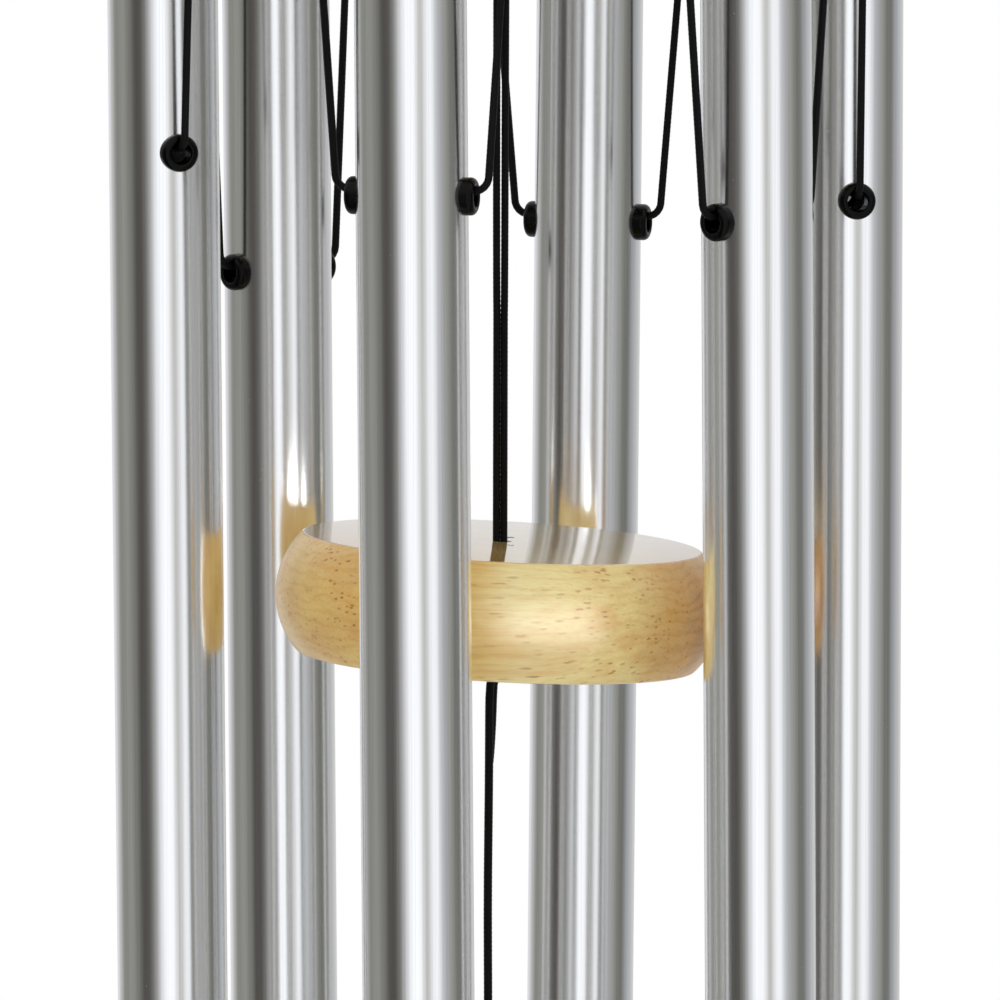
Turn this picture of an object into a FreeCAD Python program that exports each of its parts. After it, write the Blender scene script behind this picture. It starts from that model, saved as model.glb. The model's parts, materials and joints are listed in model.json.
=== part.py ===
import FreeCAD, Part
import math
import os
import Sketcher

# A six-tube wind chime.  The origin is the point where a hook carries the hanging ring, at the
# top of the ring's hole.  Z points up, so the whole chime hangs below the origin.  X points to
# the right and Y to the back.  Lengths are in millimetres and angles in degrees.

Vector = FreeCAD.Vector
doc = FreeCAD.newDocument("WindChime")

# ---------------------------------------------------------------------------------------------
# Driving dimensions
# ---------------------------------------------------------------------------------------------

SIZES = {
    # hanging ring: a welded ring of round steel wire
    "ring_inner": 32.0,
    "ring_wire": 4.0,
    # braided cord, the balls that its knots make, and the gaps round them
    "cord": 2.2,
    "strand_gap": 0.3,
    "running_gap": 0.2,
    "hanger_knot": 10.0,
    "hanger_knot_drop": 58.0,
    "end_knot": 6.8,
    "end_knot_sink": 0.4,
    "centre_knot": 7.6,
    # platform: a turned wooden disc with a barrel-shaped side
    "platform_drop": 210.0,
    "platform_face": 240.0,
    "platform_waist": 250.0,
    "platform_thick": 24.0,
    "strand_hole": 3.4,
    "centre_hole": 6.4,
    "hanger_circle": 88.0,
    "hanger_bend": 6.0,
    "hanger_bend_height": 2.0,
    # tubes: drawn aluminium, hung from their upper node of vibration
    "tube_outer": 31.75,
    "tube_wall": 1.65,
    "tube_chamfer": 0.35,
    "longest_tube": 662.0,
    "node_fraction": 0.2242,
    "tube_circle": 101.5,
    "tube_gap": 45.0,
    # tube cords: where each bends upwards outside its grommets, and how sharply
    "bend_start": 17.4,
    "strand_bend": 4.4,
    # grommets: a domed flange outside the tube, a neck through its wall, a thin flange inside
    "grommet_bore": 6.0,
    "grommet_neck": 7.4,
    "grommet_flange": 10.8,
    "grommet_proud": 3.0,
    "grommet_dome": 1.7,
    "grommet_mouth": 0.6,
    "grommet_inner": 9.4,
    "grommet_lip": 1.2,
    "grommet_lip_depth": 3.7,
    "cord_above_bore": 1.6,
    # clapper: a turned wooden disc with the same barrel-shaped side
    "clapper_drop": 266.6,
    "clapper_face": 116.0,
    "clapper_waist": 130.0,
    "clapper_thick": 34.7,
    "clapper_hole": 5.4,
    "clapper_lean": 3.2,
    # wind sail: a flat wooden disc that hangs on edge and faces the front
    "sail_hole_drop": 1011.0,
    "sail_wide": 112.0,
    "sail_thick": 9.0,
    "sail_round": 3.0,
    "sail_hole": 5.0,
    "sail_hole_inset": 11.0,
    "cord_above_sail_hole": 1.2,
    "loop_bend": 2.2,
    "loop_bend_start": 4.8,
    "loop_rise": 28.0,
    "loop_top": 1.3,
}

# Each tube in turn, going round from the shortest: its place round the circle, its semitones
# above the longest tube, how far it hangs above the common level, how far its foot leans to
# the right, and how far each of its strands is from its middle at the platform.
TUBE_FACTS = ("azimuth", "semitones", "lift", "lean", "spread")
TUBES = [
    (-163.1, 12, -0.4, 0.42, 37.0),
    (-104.5, 10, -2.4, 0.43, 33.0),
    (-44.5, 7, -1.0, 0.38, 37.0),
    (7.2, 5, 6.3, -0.03, 33.0),
    (75.4, 3, 0.4, -0.52, 37.0),
    (130.9, 0, 0.0, 0.37, 32.0),
]
TUBE_NUMBERS = range(1, len(TUBES) + 1)

# Where the three hanger cords go through the platform: one in front and two behind.
HANGER_AZIMUTHS = (-90, 30, 150)
HANGER_NUMBERS = range(1, len(HANGER_AZIMUTHS) + 1)

for number in TUBE_NUMBERS:
    for fact, amount in zip(TUBE_FACTS, TUBES[number - 1]):
        SIZES[f"tube_{number}_{fact}"] = amount
for number in HANGER_NUMBERS:
    SIZES[f"hanger_{number}_azimuth"] = HANGER_AZIMUTHS[number - 1]

sheet = doc.addObject("Spreadsheet::Sheet", "Sizes")
for row, (alias, amount) in enumerate(SIZES.items(), start=1):
    sheet.set(f"A{row}", alias.replace("_", " "))
    sheet.set(f"B{row}", str(amount))
    sheet.setAlias(f"B{row}", alias)
doc.recompute()


def value(alias):
    """A driving dimension as a number, for rough sketch sizes and for picking edges."""
    return SIZES[alias]


# Heights that several pieces share, as formulas on the sheet.
WIRE_FOOT = "(-Sizes.ring_inner - Sizes.ring_wire / 2)"
KNOT_HEIGHT = "(-Sizes.hanger_knot_drop)"
PLATFORM_TOP = "(-Sizes.platform_drop)"
PLATFORM_FOOT = "(-Sizes.platform_drop - Sizes.platform_thick)"
CENTRE_KNOT_HEIGHT = f"({PLATFORM_FOOT} - Sizes.running_gap - Sizes.centre_knot / 2)"
CLAPPER_TOP = f"({PLATFORM_FOOT} - Sizes.clapper_drop)"
STOP_KNOT_DEPTH = "(Sizes.clapper_thick + Sizes.centre_knot / 2 - Sizes.end_knot_sink)"
STOP_KNOT_X = f"(-{STOP_KNOT_DEPTH} * sin(Sizes.clapper_lean))"
STOP_KNOT_HEIGHT = f"({CLAPPER_TOP} - {STOP_KNOT_DEPTH} * cos(Sizes.clapper_lean))"
SAIL_CORD_AXIS = "(-Sizes.sail_hole_drop)"
SAIL_KNOT_HEIGHT = f"({SAIL_CORD_AXIS} + Sizes.loop_rise + Sizes.end_knot / 4)"
DOUBLED_CORD = "(2 * Sizes.cord + Sizes.strand_gap)"


def tube_length(number):
    """A tube's length: the note rises as the square of the length falls."""
    return f"(Sizes.longest_tube * 2 ^ (-Sizes.tube_{number}_semitones / 24))"


def hole_height(number):
    """Height of the middle of a tube's cross hole."""
    drop = f"(Sizes.node_fraction * {tube_length(number)} - Sizes.tube_{number}_lift)"
    return f"({PLATFORM_FOOT} - Sizes.tube_gap - {drop})"


def tube_x(number):
    """A tube's place on the tube circle, to the right."""
    return f"Sizes.tube_circle * cos(Sizes.tube_{number}_azimuth)"


def tube_y(number):
    """A tube's place on the tube circle, to the back."""
    return f"Sizes.tube_circle * sin(Sizes.tube_{number}_azimuth)"


# ---------------------------------------------------------------------------------------------
# Helpers
# ---------------------------------------------------------------------------------------------

parts = []


def sub_part(piece, label, x="0", y="0", height="0", turn="0", lean="0"):
    """Name a finished piece, and place it: turned about Z, then leant about Y."""
    piece.Label = label
    rotation = f"rotation(vector(0; 1; 0); {lean}) * rotation(vector(0; 0; 1); {turn})"
    piece.setExpression("Placement", f"placement(vector({x}; {y}; {height}); {rotation})")
    parts.append(piece)
    return piece


def new_body(name):
    return doc.addObject("PartDesign::Body", name)


def origin_plane(body, role):
    return next(plane for plane in body.Origin.OriginFeatures if plane.Role == role)


def attach(item, body, role, x=None, y=None, depth=None, turn=None):
    """Lay a sketch or primitive on one of the body's origin planes, moved as the formulas say."""
    item.AttachmentSupport = [(origin_plane(body, role), "")]
    item.MapMode = "FlatFace"
    for axis, formula in (("x", x), ("y", y), ("z", depth)):
        if formula:
            item.setExpression(f".AttachmentOffset.Base.{axis}", formula)
    if turn:
        item.setExpression(".AttachmentOffset.Rotation.Angle", turn)
    return item


def new_sketch(body, role, name, **offset):
    sketch = body.newObject("Sketcher::SketchObject", name)
    return attach(sketch, body, role, **offset)


def bind(sketch, name, formula, kind, *where, rough=1.0):
    """Add a named dimension to a sketch, near its rough value, and drive it from the sheet."""
    index = sketch.addConstraint(Sketcher.Constraint(kind, *where, rough))
    sketch.renameConstraint(index, name)
    sketch.setExpression(f"Constraints.{name}", formula)


def add_circle(sketch, name, diameter, across=None):
    """A circle on the sketch's X axis: at its origin, or some way across from it."""
    circle = sketch.addGeometry(Part.Circle(Vector(0, 0, 0), Vector(0, 0, 1), 1.0), False)
    if across:
        sketch.addConstraint(Sketcher.Constraint("PointOnObject", circle, 3, -1))
        bind(sketch, f"{name}_across", across, "DistanceX", -1, 1, circle, 3)
    else:
        sketch.addConstraint(Sketcher.Constraint("Coincident", circle, 3, -1, 1))
    bind(sketch, f"{name}_diameter", diameter, "Diameter", circle)


def pad(body, name, sketch, length, centred=False):
    feature = body.newObject("PartDesign::Pad", name)
    feature.Profile = sketch
    feature.Midplane = centred
    feature.setExpression("Length", length)
    return feature


def drill(body, name, sketch):
    """Cut a sketch's circles right through the body, both ways from the sketch."""
    feature = body.newObject("PartDesign::Pocket", name)
    feature.Profile = sketch
    feature.Type = "ThroughAll"
    feature.Midplane = True


def same(first, second):
    """True when two lengths agree to a hundredth of a millimetre."""
    return abs(first - second) < 0.01


def round_rims(body, name, base, radius, is_rim):
    """Fillet the round edges that is_rim picks by their curve."""
    doc.recompute()
    edges = base.Shape.Edges
    chosen = []
    for number, edge in enumerate(edges, start=1):
        if isinstance(edge.Curve, Part.Circle) and is_rim(edge.Curve):
            chosen.append(f"Edge{number}")
    feature = body.newObject("PartDesign::Fillet", name)
    feature.Base = (base, chosen)
    feature.setExpression("Radius", radius)


def add_ball(body, name, diameter, across=None, height=None, kind="PartDesign::AdditiveSphere"):
    ball = body.newObject(kind, name)
    attach(ball, body, "XY_Plane", x=across, depth=height)
    ball.setExpression("Radius", f"{diameter} / 2")
    return ball


def mirror(body, role="YZ_Plane"):
    """Repeat the whole shape on the other side of one of the body's planes."""
    doc.recompute()
    mirrored = body.newObject("PartDesign::Mirrored", "mirrored")
    mirrored.TransformMode = "Whole shape"
    mirrored.MirrorPlane = (origin_plane(body, role), [""])
    body.Tip = mirrored


def plain_cylinder(name, diameter, length, x="0", y="0", height="0"):
    cylinder = doc.addObject("Part::Cylinder", name)
    cylinder.setExpression("Radius", f"{diameter} / 2")
    cylinder.setExpression("Height", length)
    for axis, formula in (("x", x), ("y", y), ("z", height)):
        cylinder.setExpression(f".Placement.Base.{axis}", formula)
    return cylinder


def plain_ball(name, diameter, x="0", y="0", height="0"):
    ball = doc.addObject("Part::Sphere", name)
    ball.setExpression("Radius", f"{diameter} / 2")
    for axis, formula in (("x", x), ("y", y), ("z", height)):
        ball.setExpression(f".Placement.Base.{axis}", formula)
    return ball


def fuse(name, *pieces):
    joined = doc.addObject("Part::MultiFuse", name)
    joined.Shapes = list(pieces)
    return joined


# ---------------------------------------------------------------------------------------------
# Cord paths
# ---------------------------------------------------------------------------------------------

def sweep_cord(body, name, section, path):
    cord = body.newObject("PartDesign::AdditivePipe", name)
    cord.Profile = section
    cord.Spine = (path, [])


def bent_path(body, run, bend_radius, end_x, end_y, guess):
    """Half of a hanging loop, on the XZ plane: along X from the middle, then up to its end.

    guess holds rough sizes for run, radius, end x and end y, which start the sketch solver."""
    path = new_sketch(body, "XZ_Plane", "path")
    rough_run, rough_radius, rough_x, rough_y = guess
    corner = Vector(rough_run, rough_radius, 0)
    along = Part.LineSegment(Vector(0, 0, 0), Vector(rough_run, 0, 0))
    circle = Part.Circle(corner, Vector(0, 0, 1), rough_radius)
    bend = Part.ArcOfCircle(circle, -math.pi / 2, 0)
    upright = Part.LineSegment(Vector(rough_run + rough_radius, rough_radius, 0),
                               Vector(rough_x, rough_y, 0))
    line_1, arc, line_2 = path.addGeometry([along, bend, upright], False)
    path.addConstraint(Sketcher.Constraint("Coincident", line_1, 1, -1, 1))
    path.addConstraint(Sketcher.Constraint("PointOnObject", line_1, 2, -1))
    path.addConstraint(Sketcher.Constraint("Tangent", line_1, 2, arc, 1))
    path.addConstraint(Sketcher.Constraint("Tangent", arc, 2, line_2, 1))
    bind(path, "run", run, "DistanceX", line_1, 1, line_1, 2, rough=rough_run)
    bind(path, "bend", bend_radius, "Radius", arc, rough=rough_radius)
    bind(path, "end_x", end_x, "DistanceX", -1, 1, line_2, 2, rough=rough_x)
    bind(path, "end_y", end_y, "DistanceY", -1, 1, line_2, 2, rough=rough_y)
    return path


def hanging_loop(body, run, bend_radius, end_x, end_y, guess):
    """A cord that runs through a hole along X and rises on both sides of it.

    The cord is swept along one half and mirrored to the other."""
    path = bent_path(body, run, bend_radius, end_x, end_y, guess)
    section = new_sketch(body, "YZ_Plane", "section")
    add_circle(section, "cord", "Sizes.cord")
    sweep_cord(body, "half_loop", section, path)
    mirror(body)


# ---------------------------------------------------------------------------------------------
# Hanging ring, and the cord that goes round it
# ---------------------------------------------------------------------------------------------

def hanging_ring():
    """The steel ring, standing in the XZ plane."""
    ring = doc.addObject("Part::Torus", "hanging_ring_torus")
    ring.setExpression("Radius1", "(Sizes.ring_inner + Sizes.ring_wire) / 2")
    ring.setExpression("Radius2", "Sizes.ring_wire / 2")
    ring.Label = "hanging_ring"
    ring.setExpression("Placement", "placement(vector(0; 0; -Sizes.ring_inner / 2);"
                                    " rotation(vector(1; 0; 0); 90))")
    parts.append(ring)


def hanger_loop():
    """The cord over the ring's lowest wire, with its two legs going down to the knot."""
    body = new_body("hanger_loop_body")
    bend = "(Sizes.ring_wire / 2 + Sizes.running_gap + Sizes.cord / 2)"
    leg = f"({WIRE_FOOT} - {KNOT_HEIGHT} - Sizes.hanger_knot / 2 - Sizes.running_gap)"
    rough_bend = (value("ring_wire") + value("cord")) / 2 + value("running_gap")
    rough_leg = value("hanger_knot_drop") - value("ring_inner") - value("hanger_knot")
    path = new_sketch(body, "YZ_Plane", "path")
    circle = Part.Circle(Vector(0, 0, 0), Vector(0, 0, 1), rough_bend)
    over = path.addGeometry(Part.ArcOfCircle(circle, 0, math.pi / 2), False)
    leg_line = Part.LineSegment(Vector(rough_bend, 0, 0), Vector(rough_bend, -rough_leg, 0))
    down = path.addGeometry(leg_line, False)
    path.addConstraint(Sketcher.Constraint("Coincident", over, 3, -1, 1))
    path.addConstraint(Sketcher.Constraint("PointOnObject", over, 1, -1))
    path.addConstraint(Sketcher.Constraint("PointOnObject", over, 2, -2))
    path.addConstraint(Sketcher.Constraint("Coincident", over, 1, down, 1))
    path.addConstraint(Sketcher.Constraint("Vertical", down))
    bind(path, "bend", bend, "Radius", over, rough=rough_bend)
    bind(path, "leg", leg, "DistanceY", down, 2, down, 1, rough=rough_leg)
    section = new_sketch(body, "XZ_Plane", "section", y=bend)
    add_circle(section, "cord", "Sizes.cord")
    sweep_cord(body, "half_loop", section, path)
    mirror(body, "XZ_Plane")
    sub_part(body, "hanger_loop", height=WIRE_FOOT)


def hanger_knot():
    """The knot that gathers the hanger cords under the ring."""
    knot = doc.addObject("Part::Sphere", "hanger_knot_ball")
    knot.setExpression("Radius", "Sizes.hanger_knot / 2")
    sub_part(knot, "hanger_knot", height=KNOT_HEIGHT)


def hanger_cord(number):
    """One cord from the gathering knot down through the platform, with a knot under it.

    The body's origin is in the middle of the platform's top, and its X axis points outwards
    to the cord's hole."""
    body = new_body(f"hanger_cord_{number}_body")
    foot = "(-Sizes.platform_thick)"
    rise = f"({KNOT_HEIGHT} - {PLATFORM_TOP})"
    section = new_sketch(body, "XY_Plane", "section", depth=foot)
    add_circle(section, "cord", "Sizes.cord", across="Sizes.hanger_circle")
    path = new_sketch(body, "XZ_Plane", "path")
    out = value("hanger_circle")
    high = value("platform_drop") - value("hanger_knot_drop")
    low = value("hanger_bend_height")
    bend = value("hanger_bend")
    slant = math.atan2(out, high)
    start = Vector(out, low, 0)
    turned = Vector(out - bend * (1 - math.cos(slant)), low + bend * math.sin(slant), 0)
    stem = Part.LineSegment(Vector(out, -value("platform_thick"), 0), start)
    circle = Part.Circle(Vector(out - bend, low, 0), Vector(0, 0, 1), bend)
    arc = Part.ArcOfCircle(circle, 0, slant)
    slope = Part.LineSegment(turned, Vector(0, high, 0))
    line_1, curve, line_2 = path.addGeometry([stem, arc, slope], False)
    path.addConstraint(Sketcher.Constraint("Vertical", line_1))
    path.addConstraint(Sketcher.Constraint("Tangent", line_1, 2, curve, 1))
    path.addConstraint(Sketcher.Constraint("Tangent", curve, 2, line_2, 1))
    path.addConstraint(Sketcher.Constraint("PointOnObject", line_2, 2, -2))
    thick = value("platform_thick")
    bind(path, "out", "Sizes.hanger_circle", "DistanceX", -1, 1, line_1, 1, rough=out)
    bind(path, "foot", "Sizes.platform_thick", "DistanceY", line_1, 1, -1, 1, rough=thick)
    bind(path, "low", "Sizes.hanger_bend_height", "DistanceY", -1, 1, line_1, 2, rough=low)
    bind(path, "bend", "Sizes.hanger_bend", "Radius", curve, rough=bend)
    bind(path, "rise", rise, "DistanceY", -1, 1, line_2, 2, rough=high)
    sweep_cord(body, "cord", section, path)
    add_ball(body, "end_knot", "Sizes.end_knot", across="Sizes.hanger_circle",
             height=f"{foot} - Sizes.end_knot / 2 + Sizes.end_knot_sink")
    add_ball(body, "room_for_knot", "(Sizes.hanger_knot + 2 * Sizes.running_gap)",
             height=rise, kind="PartDesign::SubtractiveSphere")
    sub_part(body, f"hanger_cord_{number}", height=PLATFORM_TOP,
             turn=f"Sizes.hanger_{number}_azimuth")


# ---------------------------------------------------------------------------------------------
# Platform
# ---------------------------------------------------------------------------------------------

def turned_disc(body, face, waist, thick, guess):
    """A disc with flat faces and a barrel side, its top face at the body's origin.

    guess holds rough radii of face and waist and a rough thickness."""
    rough_face, rough_waist, rough_thick = guess
    bulge = rough_waist - rough_face
    side = (rough_thick ** 2 / 4 + bulge ** 2) / (2 * bulge)
    half = rough_thick / 2
    swing = math.asin(half / side)
    sketch = new_sketch(body, "XZ_Plane", "half_section")
    rim_centre = Vector(rough_waist - side, -half, 0)
    circle = Part.Circle(rim_centre, Vector(0, 0, 1), side)
    top = Part.LineSegment(Vector(0, 0, 0), Vector(rough_face, 0, 0))
    barrel = Part.ArcOfCircle(circle, -swing, swing)
    foot = Part.LineSegment(Vector(rough_face, -rough_thick, 0), Vector(0, -rough_thick, 0))
    axle = Part.LineSegment(Vector(0, -rough_thick, 0), Vector(0, 0, 0))
    line_1, arc, line_2, line_3 = sketch.addGeometry([top, barrel, foot, axle], False)
    sketch.addConstraint(Sketcher.Constraint("Coincident", line_1, 1, -1, 1))
    sketch.addConstraint(Sketcher.Constraint("Horizontal", line_1))
    sketch.addConstraint(Sketcher.Constraint("Coincident", line_1, 2, arc, 2))
    sketch.addConstraint(Sketcher.Constraint("Coincident", arc, 1, line_2, 1))
    sketch.addConstraint(Sketcher.Constraint("Horizontal", line_2))
    sketch.addConstraint(Sketcher.Constraint("Coincident", line_2, 2, line_3, 1))
    sketch.addConstraint(Sketcher.Constraint("Coincident", line_3, 2, -1, 1))
    sketch.addConstraint(Sketcher.Constraint("Vertical", line_3))
    bulge_formula = f"(({waist} - {face}) / 2)"
    radius = f"({thick} * {thick} / 4 + {bulge_formula} * {bulge_formula}) / (2 * {bulge_formula})"
    bind(sketch, "face", f"{face} / 2", "DistanceX", line_1, 1, line_1, 2, rough=rough_face)
    bind(sketch, "foot", f"{face} / 2", "DistanceX", line_2, 2, line_2, 1, rough=rough_face)
    bind(sketch, "thick", thick, "DistanceY", line_3, 1, line_3, 2, rough=rough_thick)
    bind(sketch, "side", radius, "Radius", arc, rough=side)
    disc = body.newObject("PartDesign::Revolution", "disc")
    disc.Profile = sketch
    disc.ReferenceAxis = (sketch, ["V_Axis"])
    disc.Angle = 360


def platform():
    """The disc that everything hangs from, with a hole for each strand of cord."""
    body = new_body("platform_body")
    guess = (value("platform_face") / 2, value("platform_waist") / 2, value("platform_thick"))
    turned_disc(body, "Sizes.platform_face", "Sizes.platform_waist", "Sizes.platform_thick", guess)
    centre = new_sketch(body, "XY_Plane", "centre_hole_sketch")
    add_circle(centre, "centre", "Sizes.centre_hole")
    drill(body, "centre_hole", centre)
    for number in HANGER_NUMBERS:
        hole = new_sketch(body, "XY_Plane", f"hanger_hole_sketch_{number}",
                          turn=f"Sizes.hanger_{number}_azimuth")
        add_circle(hole, "hanger", "Sizes.strand_hole", across="Sizes.hanger_circle")
        drill(body, f"hanger_hole_{number}", hole)
    for number in TUBE_NUMBERS:
        turn = f"Sizes.tube_{number}_azimuth + 90"
        pair = new_sketch(body, "XY_Plane", f"strand_holes_sketch_{number}",
                          x=tube_x(number), y=tube_y(number), turn=turn)
        spread = f"Sizes.tube_{number}_spread"
        add_circle(pair, "near", "Sizes.strand_hole", across=spread)
        add_circle(pair, "far", "Sizes.strand_hole", across=f"-{spread}")
        drill(body, f"strand_holes_{number}", pair)
    sub_part(body, "platform", height=PLATFORM_TOP)


# ---------------------------------------------------------------------------------------------
# Tubes, their grommets and their cords
# ---------------------------------------------------------------------------------------------

def tube(number):
    """A tube whose origin is the middle of its cross hole.  X is the hole's axis."""
    body = new_body(f"tube_{number}_body")
    foot = f"(Sizes.node_fraction - 1) * {tube_length(number)}"
    ring = new_sketch(body, "XY_Plane", "wall", depth=foot)
    add_circle(ring, "outer", "Sizes.tube_outer")
    add_circle(ring, "inner", "Sizes.tube_outer - 2 * Sizes.tube_wall")
    wall = pad(body, "drawn_tube", ring, tube_length(number))
    doc.recompute()
    rims = []
    for index, edge in enumerate(wall.Shape.Edges, start=1):
        if isinstance(edge.Curve, Part.Circle):
            rims.append(f"Edge{index}")
    ends = body.newObject("PartDesign::Chamfer", "broken_ends")
    ends.Base = (wall, rims)
    ends.setExpression("Size", "Sizes.tube_chamfer")
    hole = new_sketch(body, "YZ_Plane", "cross_hole_sketch")
    add_circle(hole, "neck", "Sizes.grommet_neck")
    drill(body, "cross_hole", hole)
    sub_part(body, f"tube_{number}", tube_x(number), tube_y(number), hole_height(number),
             turn=f"Sizes.tube_{number}_azimuth + 90", lean=f"-Sizes.tube_{number}_lean")


def cylinder_along_x(body, name, diameter, start, length, kind="PartDesign::AdditiveCylinder"):
    cylinder = body.newObject(kind, name)
    attach(cylinder, body, "YZ_Plane", depth=start)
    cylinder.setExpression("Radius", f"{diameter} / 2")
    cylinder.setExpression("Height", length)
    return cylinder


def grommets(number):
    """The pair of grommets in one tube, in the tube's own directions."""
    body = new_body(f"grommets_{number}_body")
    outside = "Sizes.tube_outer / 2"
    lip_foot = f"({outside} - Sizes.grommet_lip_depth)"
    flange = cylinder_along_x(body, "flange", "Sizes.grommet_flange",
                              f"{outside} - Sizes.tube_wall",
                              "Sizes.tube_wall + Sizes.grommet_proud")
    face = value("tube_outer") / 2 + value("grommet_proud")
    round_rims(body, "dome", flange, "Sizes.grommet_dome",
               lambda circle: same(circle.Center.x, face))
    saddle = body.newObject("PartDesign::SubtractiveCylinder", "saddle")
    attach(saddle, body, "XY_Plane", depth="-Sizes.grommet_flange")
    saddle.setExpression("Radius", outside)
    saddle.setExpression("Height", "2 * Sizes.grommet_flange")
    cylinder_along_x(body, "neck", "Sizes.grommet_neck", lip_foot,
                     f"{outside} + Sizes.grommet_proud / 2 - {lip_foot}")
    cylinder_along_x(body, "lip", "Sizes.grommet_inner", lip_foot, "Sizes.grommet_lip")
    bore = cylinder_along_x(body, "bore", "Sizes.grommet_bore", lip_foot,
                            f"{outside} + Sizes.grommet_proud - {lip_foot}",
                            kind="PartDesign::SubtractiveCylinder")
    bore_radius = value("grommet_bore") / 2
    round_rims(body, "mouth", bore, "Sizes.grommet_mouth",
               lambda circle: same(circle.Center.x, face) and same(circle.Radius, bore_radius))
    mirror(body)
    sub_part(body, f"grommets_{number}", tube_x(number), tube_y(number), hole_height(number),
             turn=f"Sizes.tube_{number}_azimuth + 90", lean=f"-Sizes.tube_{number}_lean")


def tube_cord(number):
    """The loop that a tube hangs on, from one platform hole to the other."""
    body = new_body(f"tube_cord_{number}_body")
    height = f"({hole_height(number)} + Sizes.cord_above_bore)"
    rise = f"({PLATFORM_FOOT} - {height})"
    length = value("longest_tube") * 2 ** (-value(f"tube_{number}_semitones") / 24)
    rough_rise = value("tube_gap") + value("node_fraction") * length
    spread = f"Sizes.tube_{number}_spread"
    rough_spread = value(f"tube_{number}_spread")
    guess = (value("bend_start"), value("strand_bend"), rough_spread, rough_rise)
    hanging_loop(body, "Sizes.bend_start", "Sizes.strand_bend", spread, rise, guess)
    for side, across in (("left", f"-{spread}"), ("right", spread)):
        ball = add_ball(body, f"{side}_strand_top", "Sizes.cord", across=across, height=rise)
    body.Tip = ball
    sub_part(body, f"tube_cord_{number}", tube_x(number), tube_y(number), height,
             turn=f"Sizes.tube_{number}_azimuth + 90")


def tube_cord_ends():
    """The strands' twelve upper ends: each a stub in the platform with a knot above it."""
    ends = []
    for number in TUBE_NUMBERS:
        azimuth = f"Sizes.tube_{number}_azimuth"
        for side, sign in (("left", -1), ("right", 1)):
            spread = f"({sign}) * Sizes.tube_{number}_spread"
            x = f"{tube_x(number)} - {spread} * sin({azimuth})"
            y = f"{tube_y(number)} + {spread} * cos({azimuth})"
            foot = f"{PLATFORM_FOOT} + Sizes.cord / 2 + Sizes.running_gap"
            stub = plain_cylinder(f"stub_{number}_{side}", "Sizes.cord",
                                  "Sizes.platform_thick", x, y, foot)
            knot = plain_ball(f"knot_{number}_{side}", "Sizes.end_knot", x, y,
                              f"{PLATFORM_TOP} + Sizes.end_knot / 2 - Sizes.end_knot_sink")
            ends.append(fuse(f"end_{number}_{side}", stub, knot))
    group = doc.addObject("Part::Compound", "tube_cord_ends_group")
    group.Links = ends
    sub_part(group, "tube_cord_ends")


# ---------------------------------------------------------------------------------------------
# Centre cord and clapper
# ---------------------------------------------------------------------------------------------

def centre_cord_end():
    """The doubled centre cord where it passes up through the platform, with its knot on top."""
    stub = plain_cylinder("centre_stub", DOUBLED_CORD, "Sizes.platform_thick", height=PLATFORM_FOOT)
    knot = plain_ball("centre_end_ball", "Sizes.centre_knot",
                      height=f"{PLATFORM_TOP} + Sizes.centre_knot / 2 - Sizes.end_knot_sink")
    sub_part(fuse("centre_cord_end_fused", stub, knot), "centre_cord_end")


def centre_cord_knot():
    """The knot under the platform that gathers the two strands."""
    knot = doc.addObject("Part::Sphere", "centre_cord_knot_ball")
    knot.setExpression("Radius", "Sizes.centre_knot / 2")
    sub_part(knot, "centre_cord_knot", height=CENTRE_KNOT_HEIGHT)


def clapper_cord():
    """The two strands from that knot down to the clapper."""
    foot = f"({CLAPPER_TOP} + 1.5 * Sizes.running_gap)"
    length = f"{CENTRE_KNOT_HEIGHT} - Sizes.centre_knot / 2 - Sizes.running_gap - {foot}"
    apart = "(Sizes.cord + Sizes.strand_gap) / 2"
    left = plain_cylinder("left_strand", "Sizes.cord", length, x=f"-{apart}", height=foot)
    right = plain_cylinder("right_strand", "Sizes.cord", length, x=apart, height=foot)
    pair = doc.addObject("Part::Compound", "clapper_cord_pair")
    pair.Links = [left, right]
    sub_part(pair, "clapper_cord")


def clapper():
    """The wooden disc that strikes the tubes, its origin where the cord enters its top."""
    body = new_body("clapper_body")
    guess = (value("clapper_face") / 2, value("clapper_waist") / 2, value("clapper_thick"))
    turned_disc(body, "Sizes.clapper_face", "Sizes.clapper_waist", "Sizes.clapper_thick", guess)
    hole = new_sketch(body, "XY_Plane", "cord_hole_sketch")
    add_circle(hole, "cord_hole", "Sizes.clapper_hole")
    drill(body, "cord_hole", hole)
    sub_part(body, "clapper", height=CLAPPER_TOP, lean="Sizes.clapper_lean")


def clapper_stop_knot():
    """The doubled cord inside the clapper, and the knot under it that carries it."""
    stub = plain_cylinder("clapper_stub", DOUBLED_CORD, "Sizes.clapper_thick",
                          height="-Sizes.clapper_thick")
    knot = plain_ball("clapper_stop_ball", "Sizes.centre_knot", height=f"-{STOP_KNOT_DEPTH}")
    sub_part(fuse("clapper_stop_fused", stub, knot), "clapper_stop_knot", height=CLAPPER_TOP,
             lean="Sizes.clapper_lean")


# ---------------------------------------------------------------------------------------------
# Wind sail and its cord
# ---------------------------------------------------------------------------------------------

def sail_cord():
    """The single cord from the clapper's knot down to the sail's knot."""
    top = f"({STOP_KNOT_HEIGHT} - Sizes.centre_knot / 2 - Sizes.running_gap)"
    foot = f"({SAIL_KNOT_HEIGHT} + Sizes.end_knot / 2 + Sizes.running_gap)"
    cord = doc.addObject("Part::Cylinder", "sail_cord_strand")
    cord.setExpression("Radius", "Sizes.cord / 2")
    cord.setExpression("Height", f"{top} - {foot}")
    sub_part(cord, "sail_cord", x=STOP_KNOT_X, height=foot)


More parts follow.
